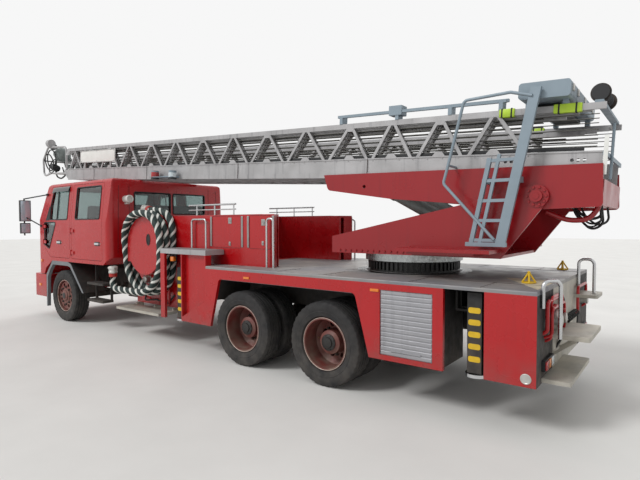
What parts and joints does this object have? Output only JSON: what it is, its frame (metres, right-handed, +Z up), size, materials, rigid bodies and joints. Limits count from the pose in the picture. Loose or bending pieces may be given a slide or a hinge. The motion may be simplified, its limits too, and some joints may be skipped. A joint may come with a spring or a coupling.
{
  "type": "aerial ladder fire engine",
  "caption": "Three-axle fire engine with a crew cab, a rear turntable, a telescoping lattice ladder stowed over the cab, sliding stabilisers, lockers and a coiled suction hose.",
  "frame": {"origin": "on the ground under the middle of the vehicle's overall length and width", "axes": "+X forward, +Y to the vehicle's left, +Z up"},
  "size_m": [11.303, 3, 3.7306],
  "materials": {
    "red_enamel": "gloss enamel, weathered",
    "ladder_paint": "satin silver-grey",
    "frame_paint": "matt black",
    "axle_iron": "painted casting",
    "engine_iron": "plain casting",
    "tinted_glass": "clear, lightly tinted",
    "grained_trim": "moulded, grained",
    "seat_cloth": "woven cloth over foam",
    "grey_plastic": "moulded, matt",
    "black_plastic": "moulded, matt",
    "lamp_lens": "moulded lens",
    "hose_rubber": "ribbed rubber with a pale spiral",
    "deck_plate": "weathered tread plate",
    "shutter_aluminium": "anodised slats",
    "ring_steel": "machined, greased",
    "tread_plate": "perforated plate",
    "rail_chrome": "polished tube",
    "console_grey": "satin",
    "cylinder_steel": "satin grey",
    "rod_chrome": "hard chrome",
    "tyre_rubber": "black rubber",
    "wheel_paint": "enamel"
  },
  "bodies": {
    "root": {"chassis_frame": "frame_paint", "cab_body": "red_enamel", "cab_glass": "tinted_glass", "cab_interior": "grained_trim", "cab_seats": "seat_cloth", "cab_trim": "black_plastic", "front_bumper": "red_enamel", "lamps": "lamp_lens", "mirrors": "black_plastic", "mudguards": "grey_plastic", "axles": "axle_iron", "engine_block": "engine_iron", "tanks": "frame_paint", "pump_body": "red_enamel", "suction_hose": "hose_rubber", "upper_locker": "red_enamel", "deck": "deck_plate", "side_panels": "red_enamel", "shutters": "shutter_aluminium", "slew_ring": "ring_steel", "steps": "tread_plate", "grab_rails": "rail_chrome"},
    "turret": {"turret_frame": "red_enamel", "control_console": "console_grey"},
    "boom": {"boom_frame": "red_enamel", "ladder_base": "ladder_paint", "access_ladder": "ladder_paint", "boom_fittings": "ladder_paint"},
    "second_section": {"ladder_second": "ladder_paint"},
    "third_section": {"ladder_third": "ladder_paint"},
    "fly_section": {"ladder_fly": "ladder_paint", "ladder_tip": "ladder_paint"},
    "lift_barrel": {"lift_barrels": "cylinder_steel"},
    "lift_rod": {"lift_rods": "rod_chrome"},
    "steer_left": {"knuckle_left": "axle_iron"},
    "wheel_front_left": {"tyre_front_left": "tyre_rubber", "rim_front_left": "wheel_paint"},
    "wheels_mid_left": {"tyres_mid_left": "tyre_rubber", "rims_mid_left": "wheel_paint"},
    "wheels_rear_left": {"tyres_rear_left": "tyre_rubber", "rims_rear_left": "wheel_paint"},
    "door_front_left": {"door_front_left": "red_enamel"},
    "door_rear_left": {"door_rear_left": "red_enamel"},
    "stabiliser_front_left": {"stabiliser_front_left": "frame_paint"},
    "jack_front_left": {"jack_front_left": "rod_chrome"},
    "stabiliser_rear_left": {"stabiliser_rear_left": "frame_paint"},
    "jack_rear_left": {"jack_rear_left": "rod_chrome"},
    "steer_right": {"knuckle_right": "axle_iron"},
    "wheel_front_right": {"tyre_front_right": "tyre_rubber", "rim_front_right": "wheel_paint"},
    "wheels_mid_right": {"tyres_mid_right": "tyre_rubber", "rims_mid_right": "wheel_paint"},
    "wheels_rear_right": {"tyres_rear_right": "tyre_rubber", "rims_rear_right": "wheel_paint"},
    "door_front_right": {"door_front_right": "red_enamel"},
    "door_rear_right": {"door_rear_right": "red_enamel"},
    "stabiliser_front_right": {"stabiliser_front_right": "frame_paint"},
    "jack_front_right": {"jack_front_right": "rod_chrome"},
    "stabiliser_rear_right": {"stabiliser_rear_right": "frame_paint"},
    "jack_rear_right": {"jack_rear_right": "rod_chrome"}
  },
  "joints": [
    {"name": "steer_left", "type": "hinge", "parent": "root", "child": "steer_left", "pos_m": [3.15, 0.985, 0.478], "axis": [0, 0, 1], "range_deg": [-35, 35]},
    {"name": "wheel_front_left", "type": "hinge", "parent": "steer_left", "child": "wheel_front_left", "pos_m": [3.15, 1.1, 0.478], "axis": [0, 1, 0], "continuous": true},
    {"name": "wheels_mid_left", "type": "hinge", "parent": "root", "child": "wheels_mid_left", "pos_m": [-1.65, 0.9375, 0.478], "axis": [0, 1, 0], "continuous": true},
    {"name": "wheels_rear_left", "type": "hinge", "parent": "root", "child": "wheels_rear_left", "pos_m": [-2.96, 0.9375, 0.478], "axis": [0, 1, 0], "continuous": true},
    {"name": "door_front_left", "type": "hinge", "parent": "root", "child": "door_front_left", "pos_m": [3.91, 1.254, 1.5], "axis": [0, 0, -1], "range_deg": [0, 70]},
    {"name": "door_rear_left", "type": "hinge", "parent": "root", "child": "door_rear_left", "pos_m": [2.802, 1.254, 1.5], "axis": [0, 0, -1], "range_deg": [0, 70]},
    {"name": "stabiliser_front_left", "type": "slide", "parent": "root", "child": "stabiliser_front_left", "axis": [0, 1, 0], "range_m": [0, 1.1]},
    {"name": "jack_front_left", "type": "slide", "parent": "stabiliser_front_left", "child": "jack_front_left", "axis": [0, 0, -1], "range_m": [0, 0.42]},
    {"name": "stabiliser_rear_left", "type": "slide", "parent": "root", "child": "stabiliser_rear_left", "axis": [0, 1, 0], "range_m": [0, 1.1]},
    {"name": "jack_rear_left", "type": "slide", "parent": "stabiliser_rear_left", "child": "jack_rear_left", "axis": [0, 0, -1], "range_m": [0, 0.42]},
    {"name": "steer_right", "type": "hinge", "parent": "root", "child": "steer_right", "pos_m": [3.15, -0.985, 0.478], "axis": [0, 0, 1], "range_deg": [-35, 35]},
    {"name": "wheel_front_right", "type": "hinge", "parent": "steer_right", "child": "wheel_front_right", "pos_m": [3.15, -1.1, 0.478], "axis": [0, 1, 0], "continuous": true},
    {"name": "wheels_mid_right", "type": "hinge", "parent": "root", "child": "wheels_mid_right", "pos_m": [-1.65, -0.9375, 0.478], "axis": [0, 1, 0], "continuous": true},
    {"name": "wheels_rear_right", "type": "hinge", "parent": "root", "child": "wheels_rear_right", "pos_m": [-2.96, -0.9375, 0.478], "axis": [0, 1, 0], "continuous": true},
    {"name": "door_front_right", "type": "hinge", "parent": "root", "child": "door_front_right", "pos_m": [3.91, -1.254, 1.5], "axis": [0, 0, 1], "range_deg": [0, 70]},
    {"name": "door_rear_right", "type": "hinge", "parent": "root", "child": "door_rear_right", "pos_m": [2.802, -1.254, 1.5], "axis": [0, 0, 1], "range_deg": [0, 70]},
    {"name": "stabiliser_front_right", "type": "slide", "parent": "root", "child": "stabiliser_front_right", "axis": [0, -1, 0], "range_m": [0, 1.1]},
    {"name": "jack_front_right", "type": "slide", "parent": "stabiliser_front_right", "child": "jack_front_right", "axis": [0, 0, -1], "range_m": [0, 0.42]},
    {"name": "stabiliser_rear_right", "type": "slide", "parent": "root", "child": "stabiliser_rear_right", "axis": [0, -1, 0], "range_m": [0, 1.1]},
    {"name": "jack_rear_right", "type": "slide", "parent": "stabiliser_rear_right", "child": "jack_rear_right", "axis": [0, 0, -1], "range_m": [0, 0.42]},
    {"name": "turntable_slew", "type": "hinge", "parent": "root", "child": "turret", "pos_m": [-3.45, 0, 1.425], "axis": [0, 0, 1], "continuous": true},
    {"name": "boom_raise", "type": "hinge", "parent": "turret", "child": "boom", "pos_m": [-5.035, 0, 2.07], "axis": [0, -1, 0], "range_deg": [0, 72]},
    {"name": "extend_second", "type": "slide", "parent": "boom", "child": "second_section", "axis": [0.9985, 0, 0.055], "range_m": [0, 7.9]},
    {"name": "extend_third", "type": "slide", "parent": "second_section", "child": "third_section", "axis": [0.9985, 0, 0.055], "range_m": [0, 7.9]},
    {"name": "extend_fly", "type": "slide", "parent": "third_section", "child": "fly_section", "axis": [0.9985, 0, 0.055], "range_m": [0, 7.9]},
    {"name": "lift_barrel_swing", "type": "hinge", "parent": "turret", "child": "lift_barrel", "pos_m": [-4.4, 0, 1.635], "axis": [0, -1, 0], "range_deg": [0, 69.08]},
    {"name": "lift_rod_stroke", "type": "slide", "parent": "lift_barrel", "child": "lift_rod", "axis": [0.8834, 0, 0.4686], "range_m": [0, 0.9012]}
  ],
  "couplings": [
    {"joint": "steer_right", "follows": "steer_left", "ratio": 1},
    {"joint": "extend_third", "follows": "extend_second", "ratio": 1},
    {"joint": "extend_fly", "follows": "extend_second", "ratio": 1},
    {"joint": "lift_barrel_swing", "follows": "boom_raise", "ratio": 0.95243},
    {"joint": "lift_rod_stroke", "follows": "boom_raise", "m_per_rad": 0.71554}
  ]
}
